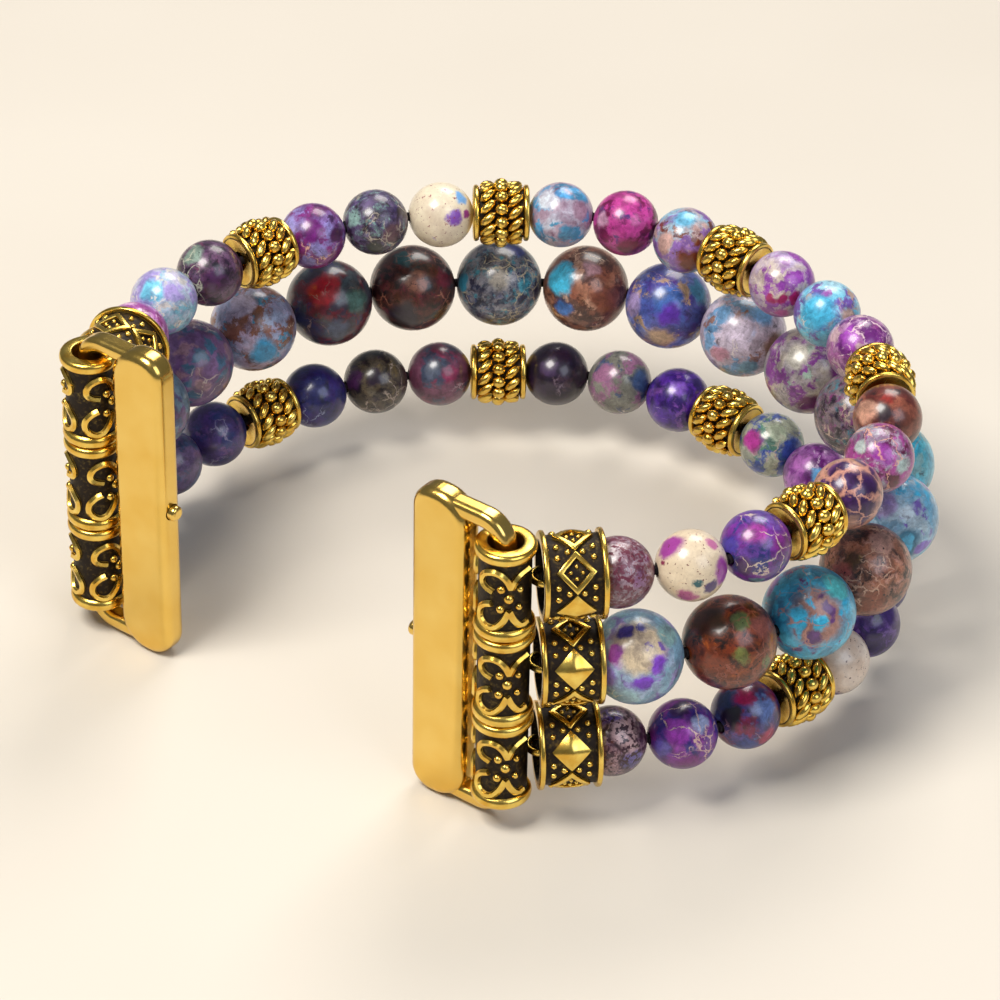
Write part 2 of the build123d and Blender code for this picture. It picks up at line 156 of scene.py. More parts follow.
# Points nearer than this are one point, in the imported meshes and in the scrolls
PACKED_WELD = 0.0001
SCROLL_WELD = 0.001
# A stone's point nearer its centre than this share of its reach lies on the bore's mouth or wall
MOUTH_REACH = 0.97

# Camera, at the photograph's angle
CAMERA_TARGET = (2.23, -8.69, 15.7)
CAMERA_DISTANCE = 380
CAMERA_AZIMUTH = 36.4
CAMERA_ELEVATION = 35.5
CAMERA_ROLL = 1.1
CAMERA_LENS = 157.2
CAMERA_SENSOR = 36

# Stage. Each light: name, azimuth, elevation, distance and size in metres, power in watts and tint
FLOOR_SIZE = 4
WORLD_COLOUR = "c8cdd6"
WORLD_STRENGTH = 0.27
LIGHTS = (
    ("key", -20, 62, 0.5, 0.2, 2.5, "fffaf2"),
    ("fill", 80, 40, 0.5, 0.3, 0.8, "e8f0ff"),
    ("back", 200, 50, 0.55, 0.25, 1.5, "fff9f2"),
)


def view_direction(azimuth, elevation):
    """From the band to a viewer at this azimuth and elevation."""
    turn = math.radians(azimuth)
    rise = math.radians(elevation)
    return Vector((math.sin(turn) * math.cos(rise), -math.cos(turn) * math.cos(rise), math.sin(rise)))


FRONT = view_direction(CAMERA_AZIMUTH, CAMERA_ELEVATION)
RIGHT = Vector((0, 0, 1)).cross(FRONT).normalized()
UP = FRONT.cross(RIGHT)


def linear(code):
    """Linear colour with alpha from an sRGB hex code."""
    channels = [int(code[start:start + 2], 16) / 255 for start in (0, 2, 4)]
    return [c / 12.92 if c <= 0.04045 else ((c + 0.055) / 1.055) ** 2.4 for c in channels] + [1]


def add(tree, kind, inputs=None, take=0, **settings):
    """Adds a node with its settings, links and constants, and gives one of its outputs."""
    node = tree.nodes.new("ShaderNode" + kind)
    for name, value in settings.items():
        setattr(node, name, value)
    for name, value in (inputs or {}).items():
        if isinstance(value, bpy.types.NodeSocket):
            tree.links.new(value, node.inputs[name])
        else:
            node.inputs[name].default_value = value
    return node.outputs[take] if node.outputs else node


def new_material(name):
    """A material with its tree, and the piece's own coordinates in millimetres."""
    material = bpy.data.materials.new(name)
    material.use_nodes = True
    tree = material.node_tree
    tree.nodes.clear()
    spot = add(tree, "TexCoord", take="Object")
    return material, tree, add(tree, "Mapping", {"Vector": spot, "Scale": (1 / MM,) * 3})


# What the kinds of stone look like. Sizes and widths are millimetres on the stone, amounts run from 0 to 1:
# cloud, patch and accent sizes and amounts, mottle, cell share, size and seam, vein amount, spacing and
# width, fleck amount and size
KINDS = {
    "cloudy": (3.2, 0.5, 2.4, 0.45, 1.7, 0.3, 0.3, 0.0, 1.0, 0.1, 0.25, 2.2, 0.09, 0.1, 0.3),
    "veined": (3.0, 0.5, 2.3, 0.5, 1.6, 0.4, 0.3, 0.0, 1.0, 0.1, 0.6, 2.4, 0.11, 0.12, 0.28),
    "netted": (3.0, 0.5, 2.0, 0.2, 1.6, 0.2, 0.3, 0.85, 3.0, 0.3, 0.9, 2.0, 0.34, 0.2, 0.3),
    "celled": (3.2, 0.5, 2.2, 0.3, 1.6, 0.2, 0.25, 0.6, 1.5, 0.2, 0.4, 1.7, 0.1, 0.2, 0.28),
    "mottled": (2.6, 0.55, 1.8, 0.45, 1.2, 0.45, 0.9, 0.0, 1.0, 0.1, 0.5, 1.4, 0.12, 0.5, 0.3),
    "speckled": (1.8, 0.5, 0.7, 0.45, 0.45, 0.55, 1.0, 0.0, 1.0, 0.1, 0.2, 1.4, 0.09, 0.9, 0.34),
    "cream": (3.0, 0.4, 2.0, 0.08, 1.5, 0.05, 0.05, 0.0, 1.0, 0.1, 0.1, 2.4, 0.06, 0.5, 0.24),
}
SWIRL_SIZE = 2.2
SWIRL_REACH = 2.4
DYE_NOISE = {"Detail": 5, "Roughness": 0.62}
# The level of noise at which a layer starts with an amount of 0, and how much lower it starts with 1
DYE_START = (0.72, 0.44)
VEIN_START = (0.68, 0.42)
FLECK_START = (0.78, 0.3)
# Where a listed patch ends and where it is full, in its size, and a cell's edge in its seam's width
PATCH_EDGE = (1.2, 0.65)
CELL_EDGE = (0.4, 1.8)
ACCENT_CELLS = 0.35
# Shading in two sizes: offset in the noise, size in millimetres and depth
SHADES = ((131, 1.6, 0.6), (151, 0.35, 0.42))
RAGGED_SIZE = 1 / 1.2
VEINED_SIZE = 4
SEAM_DEPTH = 0.02

# Pattern sizes of the metals, the cord and the floor, in millimetres
CAST_GRAIN = 0.4
CAST_TONE = 1.25
HANDLING_MARK = 1 / 3
HANDLING_CLOUD = 4
DRAW_MARK = 1 / 6
CORD_GRAIN = 0.2
FLOOR_GRAIN = 50


def start_level(start, amount):
    """The level of noise at which a layer of this amount starts."""
    none, drop = start
    return none - drop * amount


def jasper_material(name, seed, centre, radius, look):
    """Dyed jasper, tumbled and polished: dye soaked in unevenly, as clouds, crisp cells and thin seams.

    Each stone has its own material, because no two are alike. Its patches are listed, mostly dye and on one stone
    a
    painted highlight: how far right of and above the stone's middle they lie, in its radius, their size in
    millimetres and colour.
    """
    kind, codes, patches = look
    base, cloud, patch, accent, vein, fleck = (linear(code) for code in codes.split())
    (cloud_size, clouds, patch_size, patched, accent_size, accents, mottle, cells, cell_size, seam, veins,
     vein_spacing, vein_width, flecks, fleck_size) = KINDS[kind]
    material, tree, place = new_material(f"{name}_jasper")
    swirl = add(tree, "TexNoise", {"Vector": place, "W": seed, "Scale": 1 / SWIRL_SIZE, **DYE_NOISE},
                take="Color", noise_dimensions="4D")
    bent = add(tree, "VectorMath", {0: swirl, 1: (SWIRL_REACH,) * 3, 2: place}, operation="MULTIPLY_ADD")
    colour = base
    # Layers of dye: offset in the noise, colour, size, amount and softness of edge
    for shift, tint, size, amount, edge in (
            (31, cloud, cloud_size, clouds, 0.11), (57, patch, patch_size, patched, 0.035),
            (83, accent, accent_size, accents, 0.03), (97, cloud, 0.5, mottle * 0.6, 0.08),
            (113, fleck, 0.9, mottle * 0.45, 0.1)):
        level = add(tree, "TexNoise", {"Vector": bent, "W": seed + shift, "Scale": 1 / size, **DYE_NOISE},
                    noise_dimensions="4D")
        limit = start_level(DYE_START, amount)
        mask = add(tree, "MapRange", {"Value": level, "From Min": limit - edge, "From Max": limit + edge},
                   interpolation_type="SMOOTHSTEP")
        colour = add(tree, "Mix", {0: mask, 6: colour, 7: tint}, take=2, data_type="RGBA")
    # The swirl moves every point by half its reach on average
    lag = Vector((SWIRL_REACH / 2,) * 3)
    # Listed patches of colour: most are dye, but the fifth bottom stone's pale lilac one is a painted highlight
    for item in filter(None, patches.split(",")):
        right, up, size, code = item.split()
        right, up, size = float(right), float(up), float(size)
        depth = math.sqrt(max(0, 1 - right * right - up * up))
        spot = centre + (RIGHT * right + UP * up + FRONT * depth) * radius + lag
        gap = add(tree, "VectorMath", {0: bent, 1: spot}, take="Value", operation="DISTANCE")
        outer, inner = (size * share for share in PATCH_EDGE)
        mask = add(tree, "MapRange", {"Value": gap, "From Min": outer, "From Max": inner},
                   interpolation_type="SMOOTHSTEP")
        colour = add(tree, "Mix", {0: mask, 6: colour, 7: linear(code)}, take=2, data_type="RGBA")
    if cells:
        edge = add(tree, "TexVoronoi", {"Vector": bent, "Scale": 1 / cell_size}, feature="DISTANCE_TO_EDGE")
        chance = add(tree, "TexVoronoi", {"Vector": bent, "Scale": 1 / cell_size}, take="Color")
        chance = add(tree, "SeparateColor", {0: chance}).node
        outer, inner = (seam * share / cell_size for share in CELL_EDGE)
        inside = add(tree, "MapRange", {"Value": edge, "From Min": outer, "From Max": inner},
                     interpolation_type="SMOOTHSTEP")
        held = add(tree, "Math", {0: chance.outputs[0], 1: cells}, operation="LESS_THAN")
        inside = add(tree, "Math", {0: inside, 1: held}, operation="MULTIPLY")
        other = add(tree, "Math", {0: chance.outputs[1], 1: ACCENT_CELLS}, operation="LESS_THAN")
        tint = add(tree, "Mix", {0: other, 6: patch, 7: accent}, take=2, data_type="RGBA")
        colour = add(tree, "Mix", {0: inside, 6: colour, 7: tint}, take=2, data_type="RGBA")
    # Where this noise is low the colour is darkened towards the flecks', most of all on mottled stones
    for shift, size, depth in SHADES:
        shade = add(tree, "TexNoise", {"Vector": bent, "W": seed + shift, "Scale": 1 / size, "Detail": 4,
                                       "Roughness": 0.7}, noise_dimensions="4D")
        shade = add(tree, "MapRange", {"Value": shade, "From Min": 0.58, "From Max": 0.36,
                                       "To Max": depth * min(1, 0.15 + 2.5 * mottle)})
        colour = add(tree, "Mix", {0: shade, 6: colour, 7: fleck}, take=2, data_type="RGBA",
                     blend_type="MULTIPLY")
    # Thin seams of varying width, which run out in places
    line = add(tree, "TexVoronoi", {"Vector": bent, "Scale": 1 / vein_spacing}, feature="DISTANCE_TO_EDGE")
    ragged = add(tree, "TexNoise", {"Vector": place, "W": seed, "Scale": 1 / RAGGED_SIZE, "Detail": 3,
                                    "Roughness": 0.7}, noise_dimensions="4D")
    width = add(tree, "MapRange", {"Value": ragged, "From Min": 0.35, "From Max": 0.75,
                                   "To Max": 1.6 * vein_width / vein_spacing})
    seams = add(tree, "MapRange", {"Value": line, "From Min": width, "From Max": 0.0})
    reach = add(tree, "TexNoise", {"Vector": place, "W": seed + 7, "Scale": 1 / VEINED_SIZE},
                noise_dimensions="4D")
    limit = start_level(VEIN_START, veins)
    reach = add(tree, "MapRange", {"Value": reach, "From Min": limit, "From Max": limit + 0.05})
    seams = add(tree, "Math", {0: seams, 1: reach}, operation="MULTIPLY")
    colour = add(tree, "Mix", {0: seams, 6: colour, 7: vein}, take=2, data_type="RGBA")
    speck = add(tree, "TexNoise", {"Vector": place, "W": seed + 3, "Scale": 1 / fleck_size, "Detail": 2,
                                   "Roughness": 0.6}, noise_dimensions="4D")
    limit = start_level(FLECK_START, flecks)
    speck = add(tree, "MapRange", {"Value": speck, "From Min": limit, "From Max": limit + 0.05})
    colour = add(tree, "Mix", {0: speck, 6: colour, 7: fleck}, take=2, data_type="RGBA")
    bump = add(tree, "Bump", {"Height": seams, "Strength": 0.3, "Distance": SEAM_DEPTH * MM}, invert=True)
    shader = add(tree, "BsdfPrincipled", {"Base Color": colour, "Roughness": 0.3, "Coat Weight": 0.35,
                                          "Coat Roughness": 0.12, "Normal": bump})
    add(tree, "OutputMaterial", {"Surface": shader})
    return material


def antique_gold_material():
    """Cast pewter plated in yellow gold, blackened and then rubbed: bright crests over near-black hollows."""
    material, tree, place = new_material("antique_gold_plate")
    relief = add(tree, "Attribute", take="Fac", attribute_name="relief")
    # The casting grain breaks up the rubbed edge
    grain = add(tree, "TexNoise", {"Vector": place, "Scale": 1 / CAST_GRAIN, "Detail": 4, "Roughness": 0.65})
    rubbed = add(tree, "Math", {0: grain, 1: 0.5, 2: relief}, operation="MULTIPLY_ADD")
    bright = add(tree, "MapRange", {"Value": rubbed, "From Min": 0.24, "From Max": 0.7},
                 interpolation_type="SMOOTHSTEP")
    tone = add(tree, "TexNoise", {"Vector": place, "Scale": 1 / CAST_TONE, "Detail": 3})
    tone = add(tree, "MapRange", {"Value": tone, "From Min": 0.35, "From Max": 0.7})
    gold = add(tree, "Mix", {0: tone, 6: linear("dcae48"), 7: linear("f4d670")}, take=2, data_type="RGBA")
    colour = add(tree, "Mix", {0: bright, 6: linear("1d1208"), 7: gold}, take=2, data_type="RGBA")
    rough = add(tree, "MapRange", {"Value": bright, "To Min": 0.55, "To Max": 0.24})
    metal = add(tree, "MapRange", {"Value": bright, "To Min": 0.6, "To Max": 1.0})
    bump = add(tree, "Bump", {"Height": grain, "Strength": 0.2, "Distance": 0.05 * MM})
    shader = add(tree, "BsdfPrincipled", {"Base Color": colour, "Metallic": metal, "Roughness": rough,
                                          "Normal": bump})
    add(tree, "OutputMaterial", {"Surface": shader})
    return material


def polished_gold_material():
    """Polished brass plated in pale yellow gold, with the faint cloudy marks of handling."""
    material, tree, place = new_material("polished_gold_plate")
    marks = add(tree, "TexNoise", {"Vector": place, "Scale": 1 / HANDLING_MARK, "Detail": 4,
                                   "Roughness": 0.7})
    tone = add(tree, "TexNoise", {"Vector": place, "Scale": 1 / HANDLING_CLOUD})
    colour = add(tree, "Mix", {0: tone, 6: linear("dcb04a"), 7: linear("f0d07a")}, take=2, data_type="RGBA")
    rough = add(tree, "MapRange", {"Value": marks, "To Min": 0.12, "To Max": 0.3})
    bump = add(tree, "Bump", {"Height": marks, "Strength": 0.06, "Distance": 0.03 * MM})
    shader = add(tree, "BsdfPrincipled", {"Base Color": colour, "Metallic": 1.0, "Roughness": rough,
                                          "Normal": bump})
    add(tree, "OutputMaterial", {"Surface": shader})
    return material


def spring_steel_material():
    """Bright drawn spring steel, with fine draw marks."""
    material, tree, place = new_material("spring_steel")
    marks = add(tree, "TexNoise", {"Vector": place, "Scale": 1 / DRAW_MARK, "Detail": 3})
    rough = add(tree, "MapRange", {"Value": marks, "To Min": 0.2, "To Max": 0.4})
    shader = add(tree, "BsdfPrincipled", {"Base Color": linear("b9bbbf"), "Metallic": 1.0,
                                          "Roughness": rough})
    add(tree, "OutputMaterial", {"Surface": shader})
    return material


def dark_cord_painted_shade_material():
    """Matt extruded rubber cord with a fine grain, dark and low in gloss: a dark cord, and painted shade where it
    shows between the beads.
    """
    material, tree, place = new_material("rubber_cord_painted_shade")
    grain = add(tree, "TexNoise", {"Vector": place, "Scale": 1 / CORD_GRAIN, "Detail": 3})
    # Near-black: the cord's own dark colour, and painted shade where the cord shows in the gaps between beads
    colour = add(tree, "Mix", {0: grain, 6: linear("171216"), 7: linear("332b30")}, take=2,
                 data_type="RGBA")
    bump = add(tree, "Bump", {"Height": grain, "Strength": 0.3, "Distance": 0.03 * MM})
    shader = add(tree, "BsdfPrincipled", {"Base Color": colour, "Roughness": 0.8, "Normal": bump,
                                          "Specular IOR Level": 0.2})
    add(tree, "OutputMaterial", {"Surface": shader})
    return material


def floor_material():
    """Plain pale matt floor."""
    material, tree, place = new_material("pale_floor")
    grain = add(tree, "TexNoise", {"Vector": place, "Scale": 1 / FLOOR_GRAIN})
    colour = add(tree, "Mix", {0: grain, 6: linear("cfc7ba"), 7: linear("d9d2c6")}, take=2,
                 data_type="RGBA")
    shader = add(tree, "BsdfPrincipled", {"Base Color": colour, "Roughness": 0.8})
    add(tree, "OutputMaterial", {"Surface": shader})
    return material


antique_gold = antique_gold_material()
polished_gold = polished_gold_material()
spring_steel = spring_steel_material()
# The cord's dark, low-gloss finish is partly painted shade for the gaps between beads
elastic_cord = dark_cord_painted_shade_material()


def standing(centre, axis):
    """Turns a piece made along +X so that it lies along axis, with its +Z side up."""
    along = Vector(axis).normalized()
    across = Vector((0, 0, 1)).cross(along).normalized()
    turn = Matrix((along, across, along.cross(across))).transposed().to_4x4()
    return Matrix.Translation(Vector(centre)) @ turn


def finish_piece(bm, name, material, body, stands_for, place):
    """Turns a mesh made in millimetres into a named piece that rides on its body."""
    bmesh.ops.recalc_face_normals(bm, faces=bm.faces)
    for face in bm.faces:
        face.smooth = True
    for edge in bm.edges:
        if len(edge.link_faces) == 2 and edge.calc_face_angle(0) > SHARP_EDGE:
            edge.smooth = False
    bm.transform(Matrix.Scale(MM, 4) @ place)
    mesh = bpy.data.meshes.new(name)
    bm.to_mesh(mesh)
    bm.free()
    piece = bpy.data.objects.new(name, mesh)
    bpy.context.scene.collection.objects.link(piece)
    mesh.materials.append(material)
    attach(piece, body)
    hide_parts(*stands_for)
    return piece


def lathe(corners, steps):
    """Spins a closed outline of (x, radius, rounding) corners about the X axis."""
    bm = bmesh.new()
    ring = [bm.verts.new((x, 0, radius)) for x, radius, rounding in corners]
    for index, vert in enumerate(ring):
        bm.edges.new((ring[index - 1], vert))
    for vert, (x, radius, rounding) in zip(ring, corners):
        if rounding:
            bmesh.ops.bevel(bm, geom=[vert], offset=rounding, segments=ROUNDING_STEPS, profile=0.5,
                            affect="VERTICES", material=-1)
    spin(bm, bm.verts[:] + bm.edges[:], (1, 0, 0), (0, 0, 0), steps)
    return bm


def spin(bm, geom, axis, centre, steps):
    """Turns a profile once round an axis and closes the seam."""
    bmesh.ops.spin(bm, geom=geom, axis=axis, cent=centre, angle=2 * math.pi, steps=steps, use_merge=True)


def mirrored(corners):
    """An outline's +X half, followed by its mirror image."""
    return list(corners) + [(-x, radius, rounding) for x, radius, rounding in reversed(corners)]


def wire_ring(bm, centre, axis, radius, wire):
    """A round wire bent into a ring about an axis, seen from +X first."""
    out = Vector((1, 0, 0))
    axis = Vector(axis)
    turn = Matrix((out, axis, out.cross(axis))).transposed().to_4x4()
    place = Matrix.Translation(Vector(centre) + out * radius) @ turn
    section = bmesh.ops.create_circle(bm, segments=WIRE_SECTION_STEPS, radius=wire, matrix=place)["verts"]
    spin(bm, section + list({edge for vert in section for edge in vert.link_edges}), axis, centre, WIRE_STEPS)


def ball(bm, centre, radii, turn=None, fine=8):
    """A ball or oval, with its own radii along X, Y and Z."""
    matrix = Matrix.Translation(Vector(centre)) @ (turn or Matrix()) @ Matrix.Diagonal((*radii, 1))
    bmesh.ops.create_uvsphere(bm, u_segments=fine, v_segments=fine - 2, radius=1, matrix=matrix)


def mark_relief(bm, ground, rise):
    """Keeps each point's height over the recessed ground, for the patina."""
    layer = bm.verts.layers.float.new("relief")
    for vert in bm.verts:
        height = math.hypot(vert.co.y, vert.co.z) - ground
        vert[layer] = max(0.0, min(1.0, height / rise))


def wrap(bm, radius, turn):
    """Bends flat relief, x along, y round and z out, round the X axis."""
    for vert in bm.verts:
        angle = vert.co.y / radius + turn
        out = radius + vert.co.z
        vert.co = (vert.co.x, out * math.sin(angle), out * math.cos(angle))


def join(bm, part):
    """Moves one mesh into another."""
    carrier = bpy.data.meshes.new("part")
    part.to_mesh(carrier)
    part.free()
    bm.from_mesh(carrier)
    bpy.data.meshes.remove(carrier)


def stone_mesh(radius):
    """A ball of revolution with a bore along X, its mouths just eased."""
    bm = bmesh.new()
    upright = Matrix.Rotation(math.radians(90), 4, "X")
    bmesh.ops.create_circle(bm, segments=STONE_OUTLINE_STEPS, radius=radius, matrix=upright)
    bmesh.ops.bisect_plane(bm, geom=bm.verts[:] + bm.edges[:], plane_co=(0, 0, STONE_BORE + STONE_LIP),
                           plane_no=(0, 0, 1), clear_inner=True)
    mouths = [vert for vert in bm.verts if len(vert.link_edges) == 1]
    bore = bmesh.ops.extrude_vert_indiv(bm, verts=mouths)["verts"]
    for vert in bore:
        vert.co.x -= math.copysign(STONE_LIP, vert.co.x)
        vert.co.z = STONE_BORE
    bm.edges.new(bore)
    spin(bm, bm.verts[:] + bm.edges[:], (1, 0, 0), (0, 0, 0), STONE_STEPS)
    return bm


def stone(name, centre, axis, radius, node, seed, look):
    """Builds one stone at its packed place, with a jasper of its own."""
    finish_piece(stone_mesh(radius), name, jasper_material(name, seed, centre, radius, look), body_of[node],
                 [node], standing(centre, axis))


def spacer_mesh():
    """A drum with dished ends and smooth rims, two rows of slanted ovals and a row of round granules."""
    bm = lathe(mirrored((
        (SPACER_SEAT_HALF, SPACER_BORE, 0), (SPACER_SEAT_HALF, SPACER_SEAT, 0),
        (SPACER_END, SPACER_CORE + 0.05, 0.08), (SPACER_END - 0.1, SPACER_RIM, 0.12),
        (SPACER_END - SPACER_RIM_WIDTH + 0.1, SPACER_RIM, 0.16),
        (SPACER_END - SPACER_RIM_WIDTH, SPACER_CORE, 0))), SPACER_STEPS)
    for step in range(GRANULES):
        turn = Matrix.Rotation(2 * math.pi * step / GRANULES, 4, "X")
        ball(bm, turn @ Vector((0, 0, GRANULE_RING)), GRANULE, turn)
    slant = Matrix.Rotation(math.radians(ROPE_SLANT), 4, "Z")
    for side in (-1, 1):
        for step in range(ROPE_OVALS):
            turn = Matrix.Rotation(2 * math.pi * (step + ROPE_STAGGER * side) / ROPE_OVALS, 4, "X")
            ball(bm, turn @ Vector((side * ROPE_OFFSET, 0, ROPE_RING)), ROPE_OVAL, turn @ slant)
    mark_relief(bm, SPACER_CORE, SPACER_RELIEF)
    layer = bm.verts.layers.float["relief"]
    for vert in bm.verts:
        if abs(vert.co.x) > SPACER_SEAT_HALF - 0.01 and math.hypot(vert.co.y, vert.co.z) < SPACER_CORE:
            vert[layer] = SEAT_SHEEN
    return bm


def open_diamond():
    """A flat open diamond with rounded top edges, and four dots inside it."""
    bm = bmesh.new()
    verts = bmesh.ops.create_circle(bm, cap_ends=True, segments=4, radius=1)["verts"]
    bmesh.ops.scale(bm, vec=(*FRAME_SIZE, 1), verts=verts)
    plate = verts[0].link_faces[0]
    line = bmesh.ops.inset_region(bm, faces=[plate], thickness=FRAME_LINE, use_boundary=True,
                                  use_even_offset=True)["faces"]
    bmesh.ops.delete(bm, geom=[plate], context="FACES_ONLY")
    raised = bmesh.ops.extrude_face_region(bm, geom=line, use_keep_orig=True)["geom"]
    crest = [item for item in raised if isinstance(item, bmesh.types.BMVert)]
    bmesh.ops.translate(bm, vec=(0, 0, MOTIF_RISE), verts=crest)
    bm.normal_update()
    rims = [edge for edge in bm.edges if all(vert.co.z > 0 for vert in edge.verts)
            and any(abs(face.normal.z) < 0.5 for face in edge.link_faces)]
    bmesh.ops.bevel(bm, geom=rims, offset=FRAME_EDGE_ROUND, segments=2, profile=0.5, affect="EDGES",
                    material=-1)
    bmesh.ops.subdivide_edges(bm, edges=bm.edges[:], cuts=3, use_grid_fill=True)
    for x, y in INNER_DOTS:
        ball(bm, (x, y, 0), (INNER_DOT, INNER_DOT, DOT_RISE))
    return bm


def pyramid():
    """A four-sided pyramid on a short upright wall."""
    bm = bmesh.new()
    height = PYRAMID_RISE - PYRAMID_WALL
    verts = bmesh.ops.create_cone(bm, cap_ends=True, segments=4, radius1=1, radius2=0, depth=height)["verts"]
    bmesh.ops.scale(bm, vec=(*PYRAMID_SIZE, 1), verts=verts)
    bmesh.ops.translate(bm, vec=(0, 0, height / 2 + PYRAMID_WALL), verts=verts)
    sole = [face for face in bm.faces if len(face.verts) == 4]
    wall = bmesh.ops.extrude_face_region(bm, geom=sole)["geom"]
    bmesh.ops.translate(bm, vec=(0, 0, -PYRAMID_WALL),
                        verts=[item for item in wall if isinstance(item, bmesh.types.BMVert)])
    bmesh.ops.delete(bm, geom=sole, context="FACES_ONLY")
    bmesh.ops.subdivide_edges(bm, edges=bm.edges[:], cuts=5, use_grid_fill=True)
    return bm


def collar_mesh():
    """A ring with two narrow rims, and between them open diamonds, pyramids and dots."""
    inner = COLLAR_HALF - COLLAR_RIM_WIDTH
    bm = lathe(mirrored((
        (COLLAR_HALF, COLLAR_BORE, 0.05), (COLLAR_HALF, COLLAR_RIM, 0.16), (inner, COLLAR_RIM, 0.16),
        (inner, COLLAR_GROUND, 0))), COLLAR_STEPS)
    for step in range(MOTIFS):
        motif = pyramid() if step % MOTIF_REPEAT == 1 else open_diamond()
        for x, y in OUTER_DOTS:
            for side in (-1, 1):
                ball(motif, (side * x, y, 0), (OUTER_DOT, OUTER_DOT, DOT_RISE))
        wrap(motif, COLLAR_GROUND, -2 * math.pi * step / MOTIFS)
        join(bm, motif)
    mark_relief(bm, COLLAR_GROUND, CAST_RELIEF)
    return bm


def on_tube(side, girth, height, radius):
    """A place on the bail's tube, from the centre dot of one of the two mirrored scrolls."""
    turn = side * (math.radians(RELIEF_TURN) - girth / TUBE_RIM)
    return Vector((radius * math.cos(turn), radius * math.sin(turn), height))


def scroll_relief(bm):
    """Smooth raised lines through the given places, and the dots at their curls."""
    lines = bpy.data.curves.new("scroll", "CURVE")
    lines.dimensions = "3D"
    lines.bevel_depth = RELIEF_WIRE
    lines.bevel_resolution = 1
    lines.resolution_u = 5
    lines.use_fill_caps = True
    for side in (-1, 1):
        for scroll in SCROLLS:
            spline = lines.splines.new("BEZIER")
            spline.bezier_points.add(len(scroll) - 1)
            for point, (girth, height) in zip(spline.bezier_points, scroll):
                point.co = on_tube(side, girth, height, RELIEF_RADIUS)
                point.handle_left_type = point.handle_right_type = "AUTO"
        for girth, height, size in BULBS:
            ball(bm, on_tube(side, girth, height, TUBE_RIM - size - BULB_SINK), (size,) * 3, fine=12)
    holder = bpy.data.objects.new("scroll", lines)
    mesh = bpy.data.meshes.new_from_object(holder)
    bm.from_mesh(mesh)
    bmesh.ops.remove_doubles(bm, verts=bm.verts, dist=SCROLL_WELD)
    bpy.data.objects.remove(holder)
    bpy.data.curves.remove(lines)
    bpy.data.meshes.remove(mesh)


def bail_mesh():
    """The bail's tube about Z, with its end rings, scrolls and the eye that holds the cord loop."""
    ledge = TUBE_HALF - TUBE_RIM_WIDTH
    bm = lathe(mirrored((
        (TUBE_HALF, TUBE_BORE, 0.1), (TUBE_HALF, TUBE_RIM, 0.42), (ledge, TUBE_RIM, 0.42),
        (ledge - 0.1, TUBE_GROUND, 0))), TUBE_STEPS)
    bm.transform(Matrix.Rotation(math.radians(90), 4, "Y"))
    scroll_relief(bm)
    bm.transform(Matrix.Rotation(math.radians(-90), 4, "Y"))
    mark_relief(bm, TUBE_GROUND, CAST_RELIEF)
    bm.transform(Matrix.Rotation(math.radians(90), 4, "Y"))
    layer = bm.verts.layers.float["relief"]
    for vert in bm.verts:
        if abs(vert.co.z) > ledge:
            vert[layer] = 1.0
    eye = bmesh.new()
    wire_ring(eye, (EYE_REACH, 0, 0), (0, 0, 1), EYE_RADIUS, EYE_WIRE)
    layer = eye.verts.layers.float.new("relief")
    for vert in eye.verts:
        vert[layer] = 1.0
    join(bm, eye)
    return bm


def cord_mesh(runs, loops):
    """Cord through a column's bores, and at an end the loop through the bail's eye, with its knot."""
    bm = bmesh.new()
    for start, end in runs:
        place = standing((start + end) / 2, end - start) @ Matrix.Rotation(math.radians(90), 4, "Y")
        bmesh.ops.create_cone(bm, cap_ends=True, segments=CORD_STEPS, radius1=CORD_RADIUS,
                              radius2=CORD_RADIUS, depth=(end - start).length, matrix=place)
    for eye, axis in loops:
        loop = bmesh.new()
        wire_ring(loop, (LOOP_OFFSET, 0, 0), (0, 1, 0), LOOP_RADIUS, CORD_RADIUS)
        ball(loop, (LOOP_OFFSET + LOOP_RADIUS, 0, 0), (KNOT_HALF_LENGTH, KNOT_RADIUS, KNOT_RADIUS), fine=20)
        loop.transform(standing(eye, axis))
        join(bm, loop)
    return bm


def islands(node):
    """Centre and bore axis of each stone in a node, in millimetres."""
    bm = bmesh.new()
    bm.from_mesh(nodes[node].data)
    bmesh.ops.remove_doubles(bm, verts=bm.verts, dist=PACKED_WELD * MM)
    left = set(bm.verts)
    found = []
    while left:
        front = [left.pop()]
        island = list(front)
        while front:
            vert = front.pop()
            for edge in vert.link_edges:
                other = edge.other_vert(vert)
                if other in left:
                    left.remove(other)
                    front.append(other)
                    island.append(other)
        places = [vert.co / MM for vert in island]
        centre = Vector([(min(p[k] for p in places) + max(p[k] for p in places)) / 2 for k in range(3)])
        reach = max((p - centre).length for p in places)
        mouths = [p - centre for p in places if (p - centre).length < MOUTH_REACH * reach]
        axis = sum((p for p in mouths if p.dot(mouths[0]) > 0), Vector()).normalized()
        found.append((centre, axis))
    bm.free()
    return found


def round_order(item):
    """Sorts pieces from the right end of the loop, round the back, to the left end."""
    centre = item[1]
    return math.atan2(-centre.x, centre.y)
